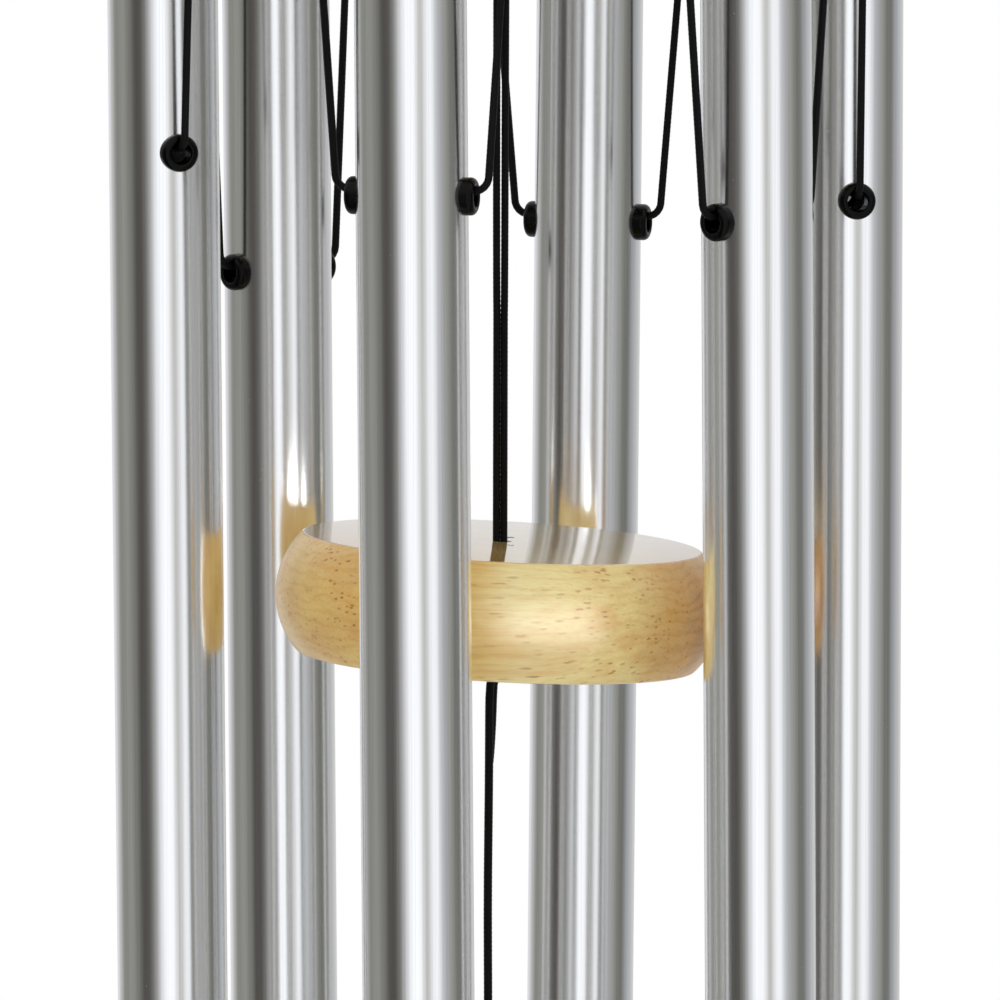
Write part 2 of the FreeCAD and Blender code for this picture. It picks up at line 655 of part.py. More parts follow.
def sail_loop():
    """The loop through the sail's hole, and the knot above it."""
    body = new_body("sail_loop_body")
    guess = (value("loop_bend_start"), value("loop_bend"), value("loop_top"), value("loop_rise"))
    hanging_loop(body, "Sizes.loop_bend_start", "Sizes.loop_bend", "Sizes.loop_top",
                 "Sizes.loop_rise", guess)
    knot = add_ball(body, "knot", "Sizes.end_knot", height="Sizes.loop_rise + Sizes.end_knot / 4")
    body.Tip = knot
    sub_part(body, "sail_loop", x=STOP_KNOT_X, height=SAIL_CORD_AXIS, turn="90")


def sail():
    """A flat disc with rounded edges, its origin in the middle of its hole."""
    body = new_body("sail_body")
    drop = "(Sizes.sail_wide / 2 - Sizes.sail_hole_inset)"
    outline = new_sketch(body, "XZ_Plane", "outline", y=f"-{drop}")
    add_circle(outline, "outline", "Sizes.sail_wide")
    disc = pad(body, "disc", outline, "Sizes.sail_thick", centred=True)
    round_rims(body, "rounded_edges", disc, "Sizes.sail_round", lambda circle: True)
    hole = new_sketch(body, "XZ_Plane", "cord_hole_sketch")
    add_circle(hole, "cord_hole", "Sizes.sail_hole")
    drill(body, "cord_hole", hole)
    sub_part(body, "sail", x=STOP_KNOT_X,
             height=f"{SAIL_CORD_AXIS} - Sizes.cord_above_sail_hole")


# ---------------------------------------------------------------------------------------------
# Build, check and write
# ---------------------------------------------------------------------------------------------

hanging_ring()
hanger_loop()
hanger_knot()
for number in HANGER_NUMBERS:
    hanger_cord(number)
platform()
for number in TUBE_NUMBERS:
    tube(number)
    grommets(number)
    tube_cord(number)
tube_cord_ends()
centre_cord_end()
centre_cord_knot()
clapper_cord()
clapper()
clapper_stop_knot()
sail_cord()
sail_loop()
sail()
doc.recompute()

for item in doc.Objects:
    if "Invalid" in item.State or "Error" in item.State:
        raise RuntimeError(f"{item.Name} failed: {item.getStatusString()}")
for piece in parts:
    if piece.Shape.isNull() or not piece.Shape.isValid() or not piece.Shape.Solids:
        raise RuntimeError(f"{piece.Label} has no valid solid")

os.makedirs("parts", exist_ok=True)
for piece in parts:
    piece.Shape.exportStep(f"parts/{piece.Label}.step")
    print(f"{piece.Label}: {len(piece.Shape.Solids)} solids, {piece.Shape.Volume:.1f} cubic mm")
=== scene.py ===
import json
import math

import bmesh
import bpy
import numpy as np
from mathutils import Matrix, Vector


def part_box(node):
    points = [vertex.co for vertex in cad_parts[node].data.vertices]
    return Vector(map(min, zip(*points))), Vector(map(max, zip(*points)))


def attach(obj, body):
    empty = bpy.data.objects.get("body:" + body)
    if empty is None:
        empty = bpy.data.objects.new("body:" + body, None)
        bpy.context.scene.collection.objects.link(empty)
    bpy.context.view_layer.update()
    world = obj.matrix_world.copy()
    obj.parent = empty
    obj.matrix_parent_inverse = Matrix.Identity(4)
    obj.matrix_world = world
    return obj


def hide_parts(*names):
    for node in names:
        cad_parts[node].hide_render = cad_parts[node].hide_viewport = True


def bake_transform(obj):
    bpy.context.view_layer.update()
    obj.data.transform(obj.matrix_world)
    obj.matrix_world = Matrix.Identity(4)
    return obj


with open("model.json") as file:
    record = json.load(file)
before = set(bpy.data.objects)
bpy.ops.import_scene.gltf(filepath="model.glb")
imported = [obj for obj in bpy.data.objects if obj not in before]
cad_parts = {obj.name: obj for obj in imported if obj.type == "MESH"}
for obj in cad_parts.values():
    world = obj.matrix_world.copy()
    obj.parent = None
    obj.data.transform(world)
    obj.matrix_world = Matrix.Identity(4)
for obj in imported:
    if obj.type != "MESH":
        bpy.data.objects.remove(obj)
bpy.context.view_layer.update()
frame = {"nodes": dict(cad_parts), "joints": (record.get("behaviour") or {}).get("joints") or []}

MM = 0.001

# ---------------------------------------------------------------------------------------------
# Places and sizes, read from the frame
# ---------------------------------------------------------------------------------------------

JOINTS = {joint["name"]: joint for joint in frame["joints"]}
TUBES = range(1, 7)
HANGERS = range(1, 4)
UP = Vector((0, 0, 1))
RIGHT = Vector((1, 0, 0))
BACK = Vector((0, 1, 0))


def joint_place(name):
    return Vector(JOINTS[name]["pos_m"])


def joint_axis(name):
    return Vector(JOINTS[name]["axis"]).normalized()


def points_of(node):
    return [vertex.co for vertex in frame["nodes"][node].data.vertices]


def level(point):
    """The point above or below this one that is level with the origin."""
    return point.to_2d().to_3d()


def reach(node, origin, direction):
    """How far a CAD node reaches from a point, in some direction."""
    return max((point - origin).dot(direction) for point in points_of(node))


def end_ring(node, side, depth=1.5 * MM):
    """Centre, outer radius and inner radius of a node's upper (1) or lower (-1) end."""
    extreme = max(side * point.z for point in points_of(node))
    ring = [point for point in points_of(node) if side * point.z > extreme - depth]
    low = Vector(map(min, zip(*ring)))
    high = Vector(map(max, zip(*ring)))
    centre = Vector(((low.x + high.x) / 2, (low.y + high.y) / 2, side * extreme))
    spans = [(point - centre).to_2d().length for point in ring]
    return centre, max(spans), min(spans)


def face_radius(node, origin, axis, depth=0.05 * MM):
    """Radius of a disc's flat face, which lies across the axis at the origin."""
    face = [point - origin for point in points_of(node) if abs((point - origin).dot(axis)) < depth]
    return max((point - axis * point.dot(axis)).length for point in face)


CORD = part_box("sail_cord")[1].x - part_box("sail_cord")[0].x
WIRE_FOOT = joint_place("hanger_swing_fore")
GATHER = joint_place("hanger_turn")
PLATFORM_TOP = Vector((0, 0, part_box("platform")[1].z))
PLATFORM_FOOT = Vector((0, 0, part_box("platform")[0].z))
CENTRE_KNOT = joint_place("clapper_swing_fore")
CLAPPER_TOP = joint_place("clapper_tilt")
STOP_KNOT = joint_place("sail_cord_swing")
SAIL_HOLE = joint_place("sail_rock")
CLAPPER_DOWN = (STOP_KNOT - CLAPPER_TOP).normalized()
CLAPPER_FOOT = CLAPPER_TOP + CLAPPER_DOWN * reach("clapper", CLAPPER_TOP, CLAPPER_DOWN)
SAIL_KNOT = Vector((SAIL_HOLE.x, SAIL_HOLE.y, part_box("sail_loop")[1].z - 1.55 * CORD))


# ---------------------------------------------------------------------------------------------
# Node helpers
# ---------------------------------------------------------------------------------------------

GAMMA = 2.2                  # from display values to linear light


def srgb(red, green, blue):
    """A colour given in display values from 0 to 255, as linear light."""
    return tuple((level / 255) ** GAMMA for level in (red, green, blue))


class Nodes:
    """A node tree, with short ways to add nodes and join them."""

    def __init__(self, owner):
        owner.use_nodes = True
        self.tree = owner.node_tree

    def add(self, kind, inputs=None, **settings):
        node = self.tree.nodes.new("ShaderNode" + kind)
        for key, value in settings.items():
            setattr(node, key, value)
        for key, value in (inputs or {}).items():
            self.feed(value, node.inputs[key])
        return node

    def feed(self, value, socket):
        """Join another node's output to a socket, or set the socket's own value."""
        if isinstance(value, bpy.types.NodeSocket):
            self.tree.links.new(value, socket)
        else:
            socket.default_value = value

    def ramp(self, value, stops, ease="LINEAR"):
        """Colours between named stops; a stop's colour may be one grey level."""
        node = self.add("ValToRGB", {"Fac": value})
        node.color_ramp.interpolation = ease
        elements = node.color_ramp.elements
        while len(elements) < len(stops):
            elements.new(0.5)
        for element, (position, color) in zip(elements, stops):
            element.position = position
            color = (color,) * 3 if isinstance(color, (int, float)) else color
            element.color = (*color, 1.0)
        return node.outputs["Color"]

    def math(self, operation, *values):
        node = self.add("Math", operation=operation)
        for value, socket in zip(values, node.inputs):
            self.feed(value, socket)
        return node.outputs[0]

    def mix(self, factor, first, second, blend="MIX"):
        node = self.add("Mix", data_type="RGBA", blend_type=blend)
        for value, socket in zip((factor, first, second),
                                 (node.inputs[0], node.inputs[6], node.inputs[7])):
            self.feed(value, socket)
        return node.outputs[2]


class Shader(Nodes):
    """A node material, with its textures measured in millimetres on the piece."""

    def __init__(self, name):
        self.material = bpy.data.materials.new(name)
        super().__init__(self.material)
        self.surface = self.tree.nodes["Principled BSDF"]

    def set(self, **inputs):
        for key, value in inputs.items():
            self.feed(value, self.surface.inputs[key.replace("_", " ")])

    def place(self, stretch=(1, 1, 1), shift=(0, 0, 0)):
        """The point on the piece in millimetres, scaled and then moved."""
        where = self.add("TexCoord").outputs["Object"]
        scale = [axis / MM for axis in stretch]
        return self.add("Mapping", {"Vector": where, "Scale": scale, "Location": shift}).outputs[0]

    def noise(self, stretch, detail=3.0, rough=0.5, shift=(0, 0, 0)):
        """Soft noise, whose stretch is its lumps per millimetre along each axis."""
        inputs = {"Vector": self.place(stretch, shift), "Scale": 1.0, "Detail": detail,
                  "Roughness": rough}
        return self.add("TexNoise", inputs).outputs["Fac"]

    def bump(self, height, distance, below=None):
        inputs = {"Height": height, "Distance": distance}
        if below:
            inputs["Normal"] = below
        return self.add("Bump", inputs).outputs["Normal"]


# ---------------------------------------------------------------------------------------------
# Materials
# ---------------------------------------------------------------------------------------------

def drawn_aluminium():
    """Satin tube metal with fine lines along the tube, faint haze and small specks."""
    shader = Shader("drawn_aluminium")
    lines = shader.noise((2.2, 2.2, 0.006), detail=4.0, rough=0.65)
    wide_lines = shader.noise((0.5, 0.5, 0.0015), detail=2.0)
    haze = shader.noise((0.06, 0.06, 0.012), detail=3.0)
    specks = shader.add("TexVoronoi", {"Vector": shader.place((0.55, 0.55, 0.4)), "Scale": 1.0})
    dot = shader.ramp(specks.outputs["Distance"], [(0.05, 1.0), (0.11, 0.0)])
    rare = shader.ramp(specks.outputs["Color"], [(0.86, 0.0), (0.90, 1.0)])
    speck = shader.math("MULTIPLY", dot, rare)
    tone = shader.ramp(lines, [(0.3, srgb(229, 228, 227)), (0.7, srgb(243, 243, 241))])
    tone = shader.mix(shader.math("MULTIPLY", speck, 0.55), tone, (*srgb(120, 118, 116), 1.0))
    rough = shader.math("MULTIPLY_ADD", lines, 0.10, 0.11)
    rough = shader.math("MULTIPLY_ADD", haze, 0.05, rough)
    rough = shader.math("MULTIPLY_ADD", speck, 0.3, rough)
    normal = shader.bump(wide_lines, 0.006 * MM)
    normal = shader.bump(lines, 0.0016 * MM, below=normal)
    shader.set(Base_Color=tone, Metallic=1.0, Roughness=rough, Normal=normal)
    return shader.material


def ring_steel():
    """Zinc-plated wire: grey metal, a little blotchy, with fine scuffs."""
    shader = Shader("ring_steel")
    blotch = shader.noise((0.25, 0.25, 0.25), detail=4.0)
    scuff = shader.noise((4.0, 0.5, 4.0), detail=3.0, rough=0.7)
    tone = shader.ramp(blotch, [(0.3, srgb(176, 176, 178)), (0.7, srgb(208, 208, 211))])
    rough = shader.math("MULTIPLY_ADD", scuff, 0.25, 0.14)
    shader.set(Base_Color=tone, Metallic=1.0, Roughness=rough,
               Normal=shader.bump(scuff, 0.01 * MM))
    return shader.material


def wood_pores(shader, crowd):
    """Short brown pores along the grain, ragged in outline and crowded in places."""
    cells = shader.add("TexVoronoi", {"Vector": shader.place((0.13, 0.55, 0.85)), "Scale": 1.0,
                                      "Randomness": 1.0})
    ragged = shader.noise((0.5, 2.2, 2.2), detail=2.0)
    outline = shader.math("MULTIPLY_ADD", ragged, 0.5, cells.outputs["Distance"])
    shape = shader.ramp(outline, [(0.43, 1.0), (0.60, 0.0)])
    picked = shader.ramp(cells.outputs["Color"], [(0.30, 0.0), (0.44, 1.0)])
    crowded = shader.ramp(crowd, [(0.42, 0.10), (0.60, 1.0)])
    return shader.math("MULTIPLY", shader.math("MULTIPLY", shape, picked), crowded)


def wood_rings(shader):
    """Faint growth rings, which run along X and drift as they go."""
    warp = shader.noise((0.012, 0.05, 0.05), detail=2.0)
    drifted = shader.add("VectorMath", {0: shader.place((0.0025, 0.05, 0.10)), 1: warp},
                         operation="ADD").outputs[0]
    inputs = {"Vector": drifted, "Scale": 1.0, "Distortion": 9.0, "Detail": 4.0,
              "Detail Scale": 1.7, "Detail Roughness": 0.6}
    return shader.add("TexWave", inputs, wave_type="BANDS", bands_direction="Z").outputs["Fac"]


def wood_tone_and_painted_light(shader, fibre, crowd):
    """Golden on the left and amber on the right as painted shade, pale in the middle as a painted
    highlight, all painted along X; with darker blotches, rings, fibre and a stain where pores
    crowd."""
    clouds = shader.noise((0.016, 0.05, 0.06), detail=4.0, rough=0.6)
    # Painted light and shade: the tone follows X on the piece, pale in the middle for a painted
    # highlight and golden or amber towards the sides for painted shade.
    painted_light_x = shader.add("SeparateXYZ", {0: shader.place((0.0077, 1, 1))}).outputs["X"]
    across = shader.math("ADD", painted_light_x, shader.math("MULTIPLY_ADD", clouds, 0.24, 0.38))
    across = shader.math("PINGPONG", across, 1.0)
    tone = shader.ramp(across, [(0.00, srgb(240, 204, 122)), (0.44, srgb(240, 206, 124)),
                                (0.53, srgb(252, 238, 176)), (0.78, srgb(253, 234, 160)),
                                (0.87, srgb(222, 172, 92)), (1.00, srgb(156, 98, 40))])
    blotch = shader.ramp(clouds, [(0.36, 0.34), (0.52, 0.0)])
    tone = shader.mix(blotch, tone, (*srgb(206, 142, 66), 1.0))
    rings = wood_rings(shader)
    ring_tone = shader.ramp(rings, [(0.0, srgb(226, 166, 84)), (0.5, srgb(255, 234, 170))])
    tone = shader.mix(0.16, tone, ring_tone)
    fibre_tone = shader.ramp(fibre, [(0.35, srgb(236, 212, 166)), (0.65, srgb(255, 252, 238))])
    tone = shader.mix(0.35, tone, fibre_tone, blend="MULTIPLY")
    stain = shader.ramp(crowd, [(0.47, 0.0), (0.74, 0.5)])
    return shader.mix(stain, tone, (*srgb(224, 156, 70), 1.0))


def lacquered_wood():
    """Pale wood under clear lacquer.  The grain runs along X and is solid right through, so
    that it shows as long lines on a face and as dots on end grain.  The flat faces are polished,
    and painted a little darker than the turned sides as painted shade."""
    shader = Shader("lacquered_wood")
    fibre = shader.noise((0.05, 1.6, 1.6), detail=4.0, rough=0.6)
    crowd = shader.noise((0.03, 0.10, 0.10), detail=3.0, rough=0.65, shift=(7, 3, 1))
    pore = wood_pores(shader, crowd)
    tone = wood_tone_and_painted_light(shader, fibre, crowd)
    tone = shader.mix(shader.math("MULTIPLY", pore, 0.75), tone, (*srgb(164, 92, 30), 1.0))
    facing = shader.add("SeparateXYZ", {0: shader.add("TexCoord").outputs["Normal"]}).outputs["Z"]
    flat_polish_and_shade = shader.ramp(shader.math("ABSOLUTE", facing), [(0.80, 0.0), (0.97, 1.0)])
    # Painted shade: the flat faces' colour is mixed towards dark brown.
    tone = shader.mix(shader.math("MULTIPLY", flat_polish_and_shade, 0.30), tone, (*srgb(120, 70, 30), 1.0))
    rough = shader.math("MULTIPLY_ADD", fibre, 0.18, 0.34)
    rough = shader.math("MULTIPLY", rough, shader.math("MULTIPLY_ADD", flat_polish_and_shade, -0.8, 1.0))
    normal = shader.bump(fibre, 0.008 * MM)
    normal = shader.bump(pore, -0.02 * MM, below=normal)
    shader.set(Base_Color=tone, Roughness=rough, Normal=normal,
               Coat_Weight=shader.math("MULTIPLY_ADD", flat_polish_and_shade, 0.28, 0.60),
               Coat_Roughness=shader.math("MULTIPLY_ADD", flat_polish_and_shade, -0.25, 0.30),
               Coat_IOR=1.5, Specular_IOR_Level=0.35)
    return shader.material


def black_braid():
    """Black cord.  The braid's lumps are in the mesh; this adds the yarns' fine threads."""
    shader = Shader("black_braid")
    round_cord = shader.add("UVMap").outputs["UV"]
    threads = shader.add("Mapping", {"Vector": round_cord, "Scale": (48.0, 9.0, 1.0)}).outputs[0]
    weave = shader.add("TexChecker", {"Vector": threads, "Scale": 1.0}).outputs["Fac"]
    fuzz = shader.noise((3.0, 3.0, 3.0), detail=3.0)
    tone = shader.ramp(fuzz, [(0.3, srgb(5, 5, 6)), (0.75, srgb(19, 19, 21))])
    height = shader.math("MULTIPLY_ADD", weave, 0.4, fuzz)
    shader.set(Base_Color=tone, Roughness=0.55, Normal=shader.bump(height, 0.05 * MM),
               Specular_IOR_Level=0.16)
    return shader.material


def black_rubber():
    """Satin black rubber with a fine moulded tooth."""
    shader = Shader("black_rubber")
    tooth = shader.noise((5.0, 5.0, 5.0), detail=3.0)
    dust = shader.noise((0.6, 0.6, 0.6), detail=4.0)
    tone = shader.ramp(dust, [(0.4, srgb(4, 4, 5)), (0.75, srgb(12, 12, 11))])
    rough = shader.math("MULTIPLY_ADD", dust, 0.16, 0.18)
    shader.set(Base_Color=tone, Roughness=rough, Normal=shader.bump(tooth, 0.012 * MM),
               Specular_IOR_Level=0.12)
    return shader.material


ALUMINIUM = drawn_aluminium()
STEEL = ring_steel()
WOOD = lacquered_wood()
BRAID = black_braid()
RUBBER = black_rubber()


# ---------------------------------------------------------------------------------------------
# Mesh helpers
# ---------------------------------------------------------------------------------------------

SHARP_ANGLE = math.radians(32)


def add_object(name, data):
    added = bpy.data.objects.new(name, data)
    bpy.context.scene.collection.objects.link(added)
    return added


def new_piece(name, points, faces, material):
    mesh = bpy.data.meshes.new(name)
    mesh.from_pydata([tuple(point) for point in points], [], faces)
    mesh.materials.append(material)
    finish_mesh(mesh)
    piece = add_object(name, mesh)
    return piece


def finish_mesh(mesh):
    """Face outwards, and shade smoothly except across sharp edges."""
    work = bmesh.new()
    work.from_mesh(mesh)
    bmesh.ops.recalc_face_normals(work, faces=work.faces)
    work.to_mesh(mesh)
    work.free()
    mesh.shade_smooth()
    mesh.set_sharp_from_angle(angle=SHARP_ANGLE)


def apply_modifiers(piece):
    """Put what the piece's modifiers make into its mesh."""
    shape = piece.evaluated_get(bpy.context.evaluated_depsgraph_get())
    mesh = bpy.data.meshes.new_from_object(shape)
    piece.modifiers.clear()
    piece.data = mesh
    finish_mesh(mesh)


def side_of(axis):
    """A direction square to the axis."""
    other = BACK if abs(axis.y) < 0.9 else RIGHT
    return axis.cross(other).normalized()


def skin(rings, closed):
    """Faces between neighbouring rings of point numbers.  A ring may be one point, repeated."""
    faces = []
    following = rings[1:] + rings[:1] if closed else rings[1:]
    for first, second in zip(rings, following):
        for step in range(len(first)):
            after = (step + 1) % len(first)
            corners = [first[step], first[after], second[after], second[step]]
            faces.append(list(dict.fromkeys(corners)))
    return faces


def numbered_rings(count, sides, start=0):
    """Rings of point numbers, for points that were made one ring after another."""
    return [list(range(start + ring * sides, start + (ring + 1) * sides)) for ring in range(count)]


def lathe(name, profile, origin, axis, sides, material):
    """Turn a closed profile of (radius, distance along the axis) points into a solid."""
    across = side_of(axis)
    third = axis.cross(across)
    points = []
    rings = []
    for radius, along in profile:
        centre = origin + axis * along
        if radius == 0:
            rings.append([len(points)] * sides)
            points.append(centre)
            continue
        rings.append(list(range(len(points), len(points) + sides)))
        for step in range(sides):
            angle = math.tau * step / sides
            points.append(centre + (across * math.cos(angle) + third * math.sin(angle)) * radius)
    faces = skin(rings, closed=profile[0][0] != 0)
    return new_piece(name, points, faces, material)


def eased_corner(profile, index, radius, steps=5):
    """Replace one sharp point of a profile by a small round."""
    before, corner, after = (Vector(profile[index + shift]) for shift in (-1, 0, 1))
    into = (before - corner).normalized()
    out = (after - corner).normalized()
    start, end = corner + into * radius, corner + out * radius
    round_points = []
    for step in range(steps + 1):
        share = step / steps
        point = start * (1 - share) ** 2 + corner * 2 * share * (1 - share) + end * share ** 2
        round_points.append(tuple(point))
    return profile[:index] + round_points + profile[index + 1:]


def drill(piece, holes):
    """Cut round holes, each (middle, axis, radius, half length, countersink)."""
    cutters = []
    for number, (middle, axis, radius, half, sink) in enumerate(holes):
        over = 2 * MM
        flare = radius + sink + over
        profile = [(0, -half - over), (flare, -half - over), (radius, -half + sink),
                   (radius, half - sink), (flare, half + over), (0, half + over)]
        cutter = lathe(f"cutter_{number}", profile, middle, axis, 40, piece.data.materials[0])
        cutters.append(cutter)
        modifier = piece.modifiers.new("hole", "BOOLEAN")
        modifier.object = cutter
        modifier.solver = "EXACT"
    apply_modifiers(piece)
    for cutter in cutters:
        bpy.data.objects.remove(cutter)


# ---------------------------------------------------------------------------------------------
# Cord helpers
# ---------------------------------------------------------------------------------------------

BRAID_STEP = 0.34 * MM       # distance between the rings of the mesh
BRAID_SIDES = 16
BRAID_LUMPS = 4              # lumps round half of the cord's girth
BRAID_PITCH = 1.35 * MM      # lump to lump along the cord
BRAID_DEPTH = 0.05 * MM
NEARLY_STRAIGHT = math.radians(0.5)
STOPPER_TURNS = 2.6          # turns of cord in a stopper knot
STOPPER_RISE = 1.5 * CORD    # from a face of wood to the middle of the knot that rests on it
WRAP_STEPS = 24              # points in one turn of a knot
TUCK_STEPS = 6               # points over which a knot's end tucks in


def rounded(corners, radius, steps=10):
    """A path through corner points, with each corner between the ends rounded."""
    path = [corners[0]]
    for before, corner, after in zip(corners, corners[1:], corners[2:]):
        into = (before - corner).normalized()
        out = (after - corner).normalized()
        half_turn = (math.pi - into.angle(out)) / 2
        if half_turn < NEARLY_STRAIGHT:
            path.append(corner)
            continue
        cut = radius * math.tan(half_turn)
        centre = corner + (into + out).normalized() * (radius / math.cos(half_turn))
        start = corner + into * cut - centre
        end = corner + out * cut - centre
        for step in range(steps + 1):
            path.append(centre + start.slerp(end, step / steps) * radius)
    path.append(corners[-1])
    return path


def wraps(centre, axis, radius, turns, phase=0.0, tilt=0.12):
    """A coil of touching turns round an axis, whose ends tuck in towards the middle."""
    across = side_of(axis)
    third = axis.cross(across)
    steps = int(turns * WRAP_STEPS)
    path = []
    for step in range(-TUCK_STEPS, steps + TUCK_STEPS + 1):
        angle = math.tau * step / WRAP_STEPS + phase
        tuck = max(0, -step, step - steps) / TUCK_STEPS
        out = radius * (1 - 0.75 * tuck)
        height = CORD * 0.97 * (min(max(step, 0), steps) / WRAP_STEPS - turns / 2)
        lean = radius * tilt * math.sin(angle + phase)
        path.append(centre + (across * math.cos(angle) + third * math.sin(angle)) * out
                    + axis * (height + lean))
    return path


def resample(path, step):
    """The path again as evenly spaced points, in rows of x, y and z."""
    path = np.array([tuple(point) for point in path])
    spans = np.linalg.norm(np.diff(path, axis=0), axis=1)
    along = np.concatenate([[0], np.cumsum(spans)])
    places = np.linspace(0, along[-1], max(3, round(along[-1] / step)))
    return np.stack([np.interp(places, along, path[:, axis]) for axis in range(3)], axis=1), places


def carried_sides(path):
    """Two directions square to the path at every point, which don't twist along it."""
    along = np.gradient(path, axis=0)
    along /= np.linalg.norm(along, axis=1)[:, None]
    side = np.array(side_of(Vector(along[0])))
    sides = []
    for direction in along:
        side = side - direction * side.dot(direction)
        side = side / np.linalg.norm(side)
        sides.append(side)
    sides = np.array(sides)
    return sides, np.cross(along, sides)


def cord_shape(path, radius):
    """Points, faces and UVs of one braided length, closed by a melted end at both ends."""
    path, along = resample(path, BRAID_STEP)
    first, second = carried_sides(path)
    turn = np.linspace(0, math.tau, BRAID_SIDES, endpoint=False)
    wave = math.pi / BRAID_PITCH * along[:, None]
    lumps = np.cos(BRAID_LUMPS * turn + wave) * np.cos(BRAID_LUMPS * turn - wave)
    from_end = np.minimum(along, along[-1] - along)[:, None] / radius
    taper = np.sqrt(np.clip(1 - (1 - np.clip(from_end, 0, 1)) ** 2, 0.02, 1))
    spread = (radius - BRAID_DEPTH + BRAID_DEPTH * lumps) * taper
    points = (path[:, None, :] + first[:, None, :] * (np.cos(turn) * spread)[:, :, None]
              + second[:, None, :] * (np.sin(turn) * spread)[:, :, None]).reshape(-1, 3)
    rings = numbered_rings(len(path), BRAID_SIDES)
    faces = skin(rings, closed=False) + [rings[0], rings[-1]]
    uvs = []
    for low, high in zip(along / CORD, along[1:] / CORD):
        for step in range(BRAID_SIDES):
            left, right = step / BRAID_SIDES, (step + 1) / BRAID_SIDES
            uvs += [(left, low), (right, low), (right, high), (left, high)]
    uvs += [(0.5, 0.5)] * (2 * BRAID_SIDES)
    return points, faces, uvs


def cord_piece(name, paths, fatness=1.04):
    """One piece of cord made of one or more braided lengths."""
    points, faces, uvs = [], [], []
    for path in paths:
        new_points, new_faces, new_uvs = cord_shape(path, fatness * CORD / 2)
        faces += [[corner + len(points) for corner in face] for face in new_faces]
        points += list(new_points)
        uvs += new_uvs
    mesh = bpy.data.meshes.new(name)
    mesh.from_pydata([tuple(point) for point in points], [], faces)
    mesh.materials.append(BRAID)
    layer = mesh.uv_layers.new(name="round_cord")
    layer.data.foreach_set("uv", np.array(uvs, np.float32).ravel())
    finish_mesh(mesh)
    piece = add_object(name, mesh)
    return piece


# ---------------------------------------------------------------------------------------------
# Hanging ring and hanger cords
# ---------------------------------------------------------------------------------------------

def make_ring():
    """The welded wire ring, a little swollen where its ends are joined."""
    low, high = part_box("hanging_ring")
    centre = (low + high) / 2
    wire = (high.y - low.y) / 2
    middle = (high.x - low.x) / 2 - wire
    around, sides = 160, 28
    weld_angle = math.radians(-35)
    weld_half = math.radians(4.5)
    swell = 0.3 * MM
    points = []
    for step in range(around):
        angle = math.tau * step / around
        out = RIGHT * math.cos(angle) + UP * math.sin(angle)
        off = math.remainder(angle - weld_angle, math.tau) / weld_half
        thick = wire + swell * math.exp(-off * off) * (1 - 0.35 * math.exp(-9 * off * off))
        for turn in range(sides):
            tilt = math.tau * turn / sides
            away = out * math.cos(tilt) + BACK * math.sin(tilt)
            points.append(centre + out * middle + away * thick)
    faces = skin(numbered_rings(around, sides), closed=True)
    ring = new_piece("welded_ring", points, faces, STEEL)
    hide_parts("hanging_ring")
    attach(ring, "ring")


def make_hanger_loop():
    """The loop of cord over the ring's wire, and the knot that gathers everything below it."""
    bend = reach("hanger_loop", WIRE_FOOT, BACK) - CORD / 2
    steps = 12
    over = []
    for step in range(steps + 1):
        angle = math.pi * step / steps
        over.append(WIRE_FOOT + BACK * bend * math.cos(angle) + UP * bend * math.sin(angle))
    neck = GATHER + UP * 3.5 * MM
    path = [neck + BACK * 0.6 * CORD, *over, neck - BACK * 0.6 * CORD]
    loop = cord_piece("hanger_loop_braid", [path])
    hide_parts("hanger_loop")
    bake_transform(loop)
    knot_radius = reach("hanger_knot", GATHER, RIGHT) - CORD / 2
    knot = cord_piece("gathering_knot", [wraps(GATHER, -UP, knot_radius, 3.2, phase=0.7)])
    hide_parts("hanger_knot")
    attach(knot, "hanger_knot")


def over_hanger_hole(number):
    """The point above a hanger cord's hole that is level with the origin."""
    return level(end_ring(f"hanger_cord_{number}", -1)[0])


def make_hanger_cord(number):
    """A cord from the gathering knot through the platform, with a stopper knot under it."""
    hole = over_hanger_hole(number)
    bend_height = 3.6 * MM
    bend_radius = 6 * MM
    knot = hole + PLATFORM_FOOT - UP * 1.75 * CORD
    tail = knot - UP * 3.4 * CORD + RIGHT * 0.8 * MM
    corners = [GATHER, hole + PLATFORM_TOP + UP * bend_height, knot, tail]
    coil = wraps(knot, -UP, CORD, STOPPER_TURNS, phase=number)
    cord = cord_piece(f"hanger_cord_{number}_braid", [rounded(corners, bend_radius), coil])
    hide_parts(f"hanger_cord_{number}")
    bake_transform(cord)


# ---------------------------------------------------------------------------------------------
# Turned wooden discs
# ---------------------------------------------------------------------------------------------

def turned_disc(name, node, origin, axis, ease, sides=224):
    """A wooden disc with flat faces, a barrel side and eased edges."""
    thick = reach(node, origin, axis)
    waist = reach(node, origin, side_of(axis))
    face = face_radius(node, origin, axis)
    bulge = waist - face
    curve = (thick ** 2 / 4 + bulge ** 2) / (2 * bulge)
    swing = math.asin(thick / 2 / curve)
    side = []
    steps = 24
    for step in range(steps + 1):
        angle = swing * (2 * step / steps - 1)
        side.append((waist - curve + curve * math.cos(angle), thick / 2 + curve * math.sin(angle)))
    profile = [(0, 0), *side, (0, thick)]
    profile = eased_corner(profile, len(profile) - 2, ease)
    profile = eased_corner(profile, 1, ease)
    disc = lathe(name, profile, origin, axis, sides, WOOD)
    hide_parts(node)
    return disc


